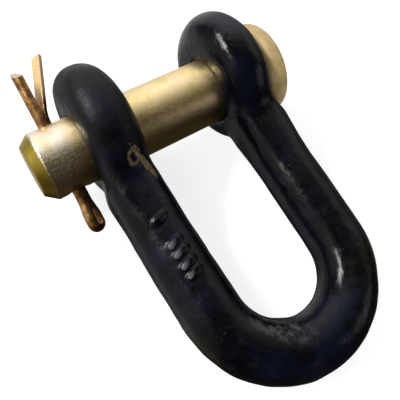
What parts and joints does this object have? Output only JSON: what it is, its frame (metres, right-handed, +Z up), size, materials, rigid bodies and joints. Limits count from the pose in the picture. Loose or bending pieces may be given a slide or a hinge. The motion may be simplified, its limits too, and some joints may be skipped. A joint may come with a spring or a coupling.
{
  "type": "dee shackle",
  "caption": "Forged dee shackle with two round eyes, a headed round clevis pin and a spread split pin that holds it.",
  "frame": {"origin": "on the clevis pin's axis, midway between the two eyes", "axes": "+Y along the clevis pin to its head, +Z up from the surface the shackle lies on, +X from the pin towards the bow; the legs slope down from the pin to the bow by 8.3 degrees, because the shackle rests on the rims of both eyes and on its bow"},
  "size_m": [0.1289, 0.089, 0.045],
  "materials": {
    "black_paint": "gloss black paint over a forged surface",
    "yellow_zinc": "yellow zinc plated, satin",
    "brass_coloured_wire": "tarnished yellow zinc plated wire"
  },
  "bodies": {
    "shackle": {"shackle_body": "black_paint"},
    "pin": {"clevis_pin": "yellow_zinc"},
    "keeper": {"split_pin": "brass_coloured_wire"}
  },
  "joints": [
    {"name": "pin_turn", "type": "hinge", "parent": "shackle", "child": "pin", "pos_m": [0, 0, 0], "axis": [0, 1, 0], "range_deg": [-162, 138]},
    {"name": "split_pin_slide", "type": "slide", "parent": "pin", "child": "keeper", "axis": [-0.8763, 0, 0.4818], "range_m": [-0.0015, 0.004]}
  ]
}
